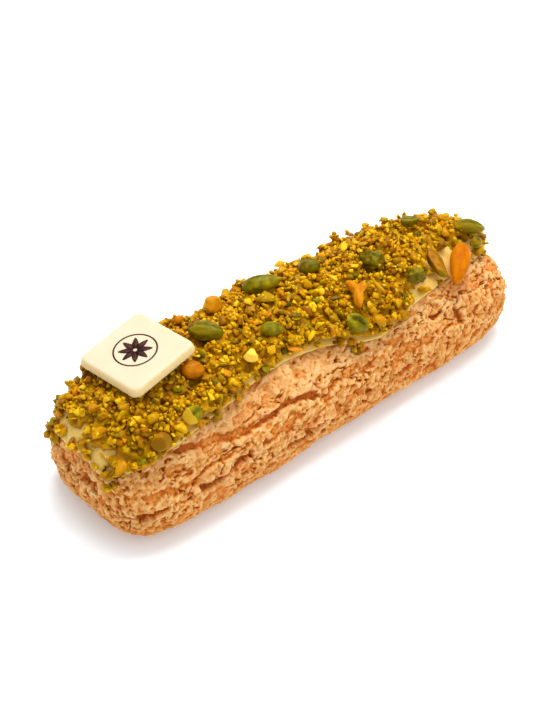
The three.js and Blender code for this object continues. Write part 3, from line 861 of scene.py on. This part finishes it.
# Pieces that stand out, each laid where it belongs: its kind, its place in plan, its length, the heading
# of its length in degrees. Lengths are in mm.
MARKED_BITS = [
    ("yellow_chips", (-55.9, -10.3), 2.7, 20),
    ("yellow_chips", (-54.7, -4.5), 3.4, -66),
    ("yellow_chips", (-58.6, -12.0), 2.8, -25),
    ("gold_lumps", (-51.1, -11.6), 4.2, 10),
    ("amber_chips", (-59.7, -0.7), 3.0, -30),
    ("amber_chips", (-56.5, 5.4), 3.2, 60),
    ("toasted_chips", (-57.8, 9.4), 4.0, 70),
    ("toasted_chips", (-16.3, 2.8), 3.6, 0),
    ("yellow_chips", (-10.7, 3.3), 3.2, -20),
    ("toasted_chips", (-25.7, 12.1), 4.4, -10),
    ("yellow_chips", (-19.3, 5.2), 2.4, 45),
    ("olive_chips", (-6.2, 2.5), 6.4, -58),
    ("gold_slivers", (-7.8, 0.5), 4.4, -40),
    ("toasted_chips", (-10.3, -2.4), 2.7, 30),
    ("gold_chips", (-57.9, -5.5), 2.4, 0),
    ("toasted_chips", (-38.6, -9.3), 3.2, -60),
    ("green_chips", (-41.7, -7.7), 3.6, 20),
    ("green_chips", (-18.5, -12.4), 3.3, 35),
    ("toasted_chips", (9.9, 2.0), 3.6, 10),
    ("yellow_chips", (13.3, -0.8), 3.5, -20),
    ("toasted_chips", (-1.8, 2.1), 3.5, 50),
    ("green_chips", (4.0, -4.7), 3.3, 60),
    ("skin_scraps", (8.3, -6.7), 4.8, -37),
    ("skin_scraps", (-4.2, -6.8), 4.6, -30),
    ("toasted_chips", (-8.2, -11.2), 4.5, -30),
    ("yellow_chips", (-3.3, -11.6), 4.0, 25),
    ("gold_slivers", (19.6, -10.6), 6.1, -94),
    ("yellow_chips", (42.4, 1.9), 3.2, -30),
    ("toasted_chips", (52.7, 0.9), 3.2, 0),
    ("toasted_chips", (33.7, -0.5), 3.4, -10),
    ("toasted_chips", (35.3, -3.4), 3.2, 40),
    ("amber_chips", (14.8, -16.2), 5.0, -60),
    ("toasted_chips", (17.9, -16.2), 2.6, 0),
    ("amber_chips", (21.2, -15.3), 2.9, -30),
    ("yellow_chips", (-36.6, -14.1), 2.9, -50),
    ("green_chips", (-57.9, -15.8), 3.0, 15),
    ("yellow_chips", (22.3, 10.0), 2.4, 0),
    ("yellow_chips", (23.5, 6.7), 3.0, -40),
    ("green_chips", (15.7, -4.9), 2.6, 10),
]
SHAPES_OF_A_KIND = 10


def sliver(seed):
    return chip(seed, 0.36, 0.3)


SHAPE_MAKERS = {"bead": bead, "chip": chip, "sliver": sliver}
LIFT = {"bead": 0.26, "chip": 0.1, "sliver": 0.1}
TIPPING = {"bead": 0.4, "chip": 0.3, "sliver": 0.2}


kernel_surfaces = [triangles_of(kernel) for kernel in kernels]
kernel_starts = np.cumsum([0] + [len(points) for points, _ in kernel_surfaces])
kernel_tree = tree_of(
    np.concatenate([points for points, _ in kernel_surfaces]),
    np.concatenate([faces + start for (_, faces), start in zip(kernel_surfaces, kernel_starts)]),
)
bed_tree = tree_of(*triangles_of(nut_bed))
lying = [bed_tree, *under_nuts, kernel_tree]
middles, facing, chance = strewn_over(nut_bed)

REACH = 6.0  # mm that a crumb falls onto what lies below it
PILE = 2.5  # mm that the loose layer piles up to, less for a large crumb
for seed, (name, form, count, (smallest, largest), shades, hollows) in enumerate(CRUMB_KINDS):
    dice = np.random.default_rng(100 + seed)
    shapes = [SHAPE_MAKERS[form](1000 * seed + i) for i in range(SHAPES_OF_A_KIND)]
    pieces, taken = [], {}
    for kind, (x, y), length, heading in MARKED_BITS:
        if kind == name:
            hit, _ = landing(Vector((x, y, 60)), Vector((0, 0, -1)), 60, lying)
            out = np.array(bed_tree.find_nearest(Vector(hit))[1]) * 0.3 + np.array([0, 0, 0.7])
            turn = laid_on(out, dice, 0.05, math.radians(heading))
            place = hit + LIFT[form] * length * turn[:, 2]
            pieces.append((shapes[dice.integers(len(shapes))], place, turn, length, 0.45 + 0.3 * dice.random()))
            taken.setdefault(tuple(np.floor(place / 1.5).astype(int)), []).append((place, length))
    wanted = count + len(pieces)
    picks = dice.choice(len(chance), size=count * 5, p=chance)
    for pick in picks:
        if len(pieces) == wanted:
            break
        size = smallest + (largest - smallest) * dice.random() ** 1.5
        out = facing[pick] + np.array([0, 0, 0.8])
        out /= np.linalg.norm(out)
        place, fallen = landing(Vector(middles[pick] + REACH * out), Vector(-out), 2 * REACH, lying)
        if place is None or dice.random() < hollows * smoothstep(0.4, -0.6, fallen - REACH):
            continue
        if REACH - fallen + 0.35 * size > PILE:
            continue
        place = place + out * size * LIFT[form]
        if plaque_tree.find_nearest(Vector(place))[3] < 0.5 * size:
            continue
        on_kernel = kernel_tree.find_nearest(Vector(place))[3]
        if on_kernel < 0.5 * size and (size > 1.5 or dice.random() < 0.5):
            continue
        cell = tuple(np.floor(place / 1.5).astype(int))
        near = [
            other
            for dx in (-1, 0, 1)
            for dy in (-1, 0, 1)
            for dz in (-1, 0, 1)
            for other in taken.get((cell[0] + dx, cell[1] + dy, cell[2] + dz), ())
        ]
        if any(np.sum((place - spot) ** 2) < (0.36 * (size + breadth)) ** 2 for spot, breadth in near):
            continue
        taken.setdefault(cell, []).append((place, size))
        turn = laid_on(out, dice, TIPPING[form])
        pieces.append((shapes[dice.integers(len(shapes))], place, turn, size, dice.random()))
    crumbs = scattered(name, pieces)
    crumbs.data.materials.append(nut_material(name + "_flesh", shades)[0])
    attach(crumbs, "root")
    lying.append(tree_of(*triangles_of(crumbs)))


# ---------------------------------------------------------------- the plaque
# A square of white chocolate, cast in a mould with rounded edges, set askew on the nuts while the
# icing was soft. Its rim is a little nibbled where it came out of the mould.

plaque_shape = refined(joined_copy("plaque"), 0, 0.25 * MM)
smoothed(plaque_shape, 4)
rim_points, rim_normals = places_and_normals(plaque_shape)
nibbles = smoothstep(0.15, 0.5, noise_at(rim_points, 1.3, 81)) * (1 - smoothstep(0.5, 0.9, rim_normals[:, 2]))
for vertex, normal, nibble in zip(plaque_shape.verts, rim_normals, nibbles):
    vertex.co -= Vector(normal) * 0.07 * MM * nibble
smoothed(plaque_shape, 1)
plaque = as_object("chocolate_plaque", plaque_shape)
# The sides are painted a darker, warmer yellow the more they face sideways: painted shade, with a painted glow of
# light through the chocolate's edge.
paint(plaque, "rim_shade", 1 - smoothstep(0.55, 0.96, rim_normals[:, 2]))
chocolate, tree, shader, coordinates = new_material(
    "white_chocolate",
    Roughness=0.4,
    Specular_IOR_Level=0.22,
    Subsurface_Weight=0.35,
    Subsurface_Radius=(1.0, 0.8, 0.4),
    Subsurface_Scale=1.6 * MM,
)
ivory = ramp(tree, speckle(tree, coordinates, 5 * MM, 3), (0.3, srgb(212, 196, 166)), (0.7, srgb(216, 200, 174)))
# Painted shade and glow on the sides.
edge_shade_share = math_of(tree, "MULTIPLY", painted(tree, "rim_shade"), 0.8)
tree.links.new(mixed(tree, edge_shade_share, ivory, srgb(222, 196, 138)), shader.inputs["Base Color"])
bumped(tree, shader, speckle(tree, coordinates, 1.2 * MM, 3), 0.03 * MM, 0.4)
plaque.data.materials.append(chocolate)
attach(plaque, "root")
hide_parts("plaque")


# ---------------------------------------------------------------- the plaque's ornament
# A plain eight-petalled rosette in a ring, printed in dark cocoa butter. It stands a hair above the
# chocolate, as a transfer does.

PRINT_THICKNESS = 0.06 * MM
PRINT_LIFT = 0.03 * MM
ROSETTE_RADIUS = 3.7 * MM
RING_RADIUS = 5.4 * MM
RING_WIDTH = 0.4 * MM
PETALS = 8
PLAQUE_TURN = math.radians(6.8)

plaque_corners = plaque_points[plaque_faces]
plaque_facing = np.cross(plaque_corners[:, 1] - plaque_corners[:, 0], plaque_corners[:, 2] - plaque_corners[:, 0])
plaque_area = np.linalg.norm(plaque_facing, axis=1) / 2
is_top = (plaque_facing[:, 2] > 0.97 * 2 * plaque_area) & (plaque_area > 1)
up = Vector(plaque_facing[is_top].sum(axis=0)).normalized()
face_points = plaque_points[plaque_points @ up > (plaque_points @ up).max() - 0.05]
face_centre = Vector(face_points.mean(axis=0)) * MM
side = Vector((math.cos(PLAQUE_TURN), math.sin(PLAQUE_TURN), 0))
side = (side - up * side.dot(up)).normalized()
on_plaque = Matrix.Translation(face_centre) @ Matrix((side, up.cross(side), up)).transposed().to_4x4()

print_shape = bmesh.new()
for i in range(PETALS):
    petal = bmesh.ops.create_circle(print_shape, cap_ends=True, segments=24, radius=0.5 * ROSETTE_RADIUS)["verts"]
    bmesh.ops.scale(print_shape, verts=petal, vec=(1, 0.42, 1))
    for vertex in petal:
        vertex.co.y *= 1 - 0.9 * vertex.co.x / ROSETTE_RADIUS
    bmesh.ops.translate(print_shape, verts=petal, vec=(0.62 * ROSETTE_RADIUS, 0, 0))
    turn = Matrix.Rotation(i * math.tau / PETALS, 3, "Z")
    bmesh.ops.rotate(print_shape, verts=petal, cent=(0, 0, 0), matrix=turn)
ring_verts = set()
for radius in (RING_RADIUS, RING_RADIUS - RING_WIDTH):
    ring_verts.update(bmesh.ops.create_circle(print_shape, segments=64, radius=radius)["verts"])
bmesh.ops.bridge_loops(print_shape, edges=[e for e in print_shape.edges if e.verts[0] in ring_verts])
for face in print_shape.faces:
    if face.normal.z < 0:
        face.normal_flip()
bmesh.ops.solidify(print_shape, geom=print_shape.faces, thickness=PRINT_THICKNESS)
bmesh.ops.transform(print_shape, matrix=on_plaque @ Matrix.Translation((0, 0, PRINT_LIFT)), verts=print_shape.verts)
bmesh.ops.recalc_face_normals(print_shape, faces=print_shape.faces)
ornament = as_object("cocoa_rosette", print_shape)
cocoa, tree, shader, coordinates = new_material("cocoa_print", Roughness=0.5, Specular_IOR_Level=0.2)
cocoa_colour = ramp(tree, speckle(tree, coordinates, 1.5 * MM), (0.3, srgb(62, 34, 28)), (0.7, srgb(84, 50, 42)))
tree.links.new(cocoa_colour, shader.inputs["Base Color"])
ornament.data.materials.append(cocoa)
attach(ornament, "root")


# ---------------------------------------------------------------- the set
# The white paper sweep it was pictured on, a soft light from above and behind, and a weak broad fill.

floor_shape = bmesh.new()
bmesh.ops.create_grid(floor_shape, x_segments=1, y_segments=1, size=1.5)
floor = as_object("paper_sweep", floor_shape)
paper, tree, shader, coordinates = new_material(
    "white_paper",
    Roughness=0.9,
    Specular_IOR_Level=0.05,
    Emission_Color=(0.95, 0.98, 1.0, 1),
    Emission_Strength=0.14,
)
paper_colour = ramp(tree, speckle(tree, coordinates, 4 * MM), (0.0, srgb(236, 244, 250)), (1.0, srgb(240, 247, 252)))
tree.links.new(paper_colour, shader.inputs["Base Color"])
floor.data.materials.append(paper)

world = bpy.data.worlds.new("studio")
world.use_nodes = True
world.node_tree.nodes["Background"].inputs["Color"].default_value = (1, 1, 1, 1)
world.node_tree.nodes["Background"].inputs["Strength"].default_value = 0.62
bpy.context.scene.world = world


def soft_light(name, place, size, power, aim=(0, 0, 0.015)):
    data = bpy.data.lights.new(name, "AREA")
    data.shape = "DISK"
    data.size = size
    data.energy = power
    light = bpy.data.objects.new(name, data)
    light.location = place
    light.rotation_euler = (Vector(aim) - Vector(place)).to_track_quat("-Z", "Y").to_euler()
    bpy.context.scene.collection.objects.link(light)


soft_light("top_back", (0.14, 0.10, 0.62), 0.50, 3.4)
soft_light("front_right", (0.08, -0.50, 0.50), 0.6, 0.8)

CAMERA_PLACE = Vector((-211.02, -243.60, 298.80)) * MM
CAMERA_TURN = (math.radians(48.654), 0, math.radians(-39.840))
SENSOR = 36
FOCAL_PIXELS = 1700
PICTURE_HEIGHT = 711
camera_data = bpy.data.cameras.new("camera")
camera_data.sensor_width = SENSOR
camera_data.lens = FOCAL_PIXELS * SENSOR / PICTURE_HEIGHT
camera_data.clip_start = 0.01
camera = bpy.data.objects.new("camera", camera_data)
camera.location = CAMERA_PLACE
camera.rotation_euler = CAMERA_TURN
bpy.context.scene.collection.objects.link(camera)
bpy.context.scene.camera = camera
bpy.context.scene.view_settings.view_transform = "Standard"
bpy.context.scene.view_settings.look = "Medium High Contrast"
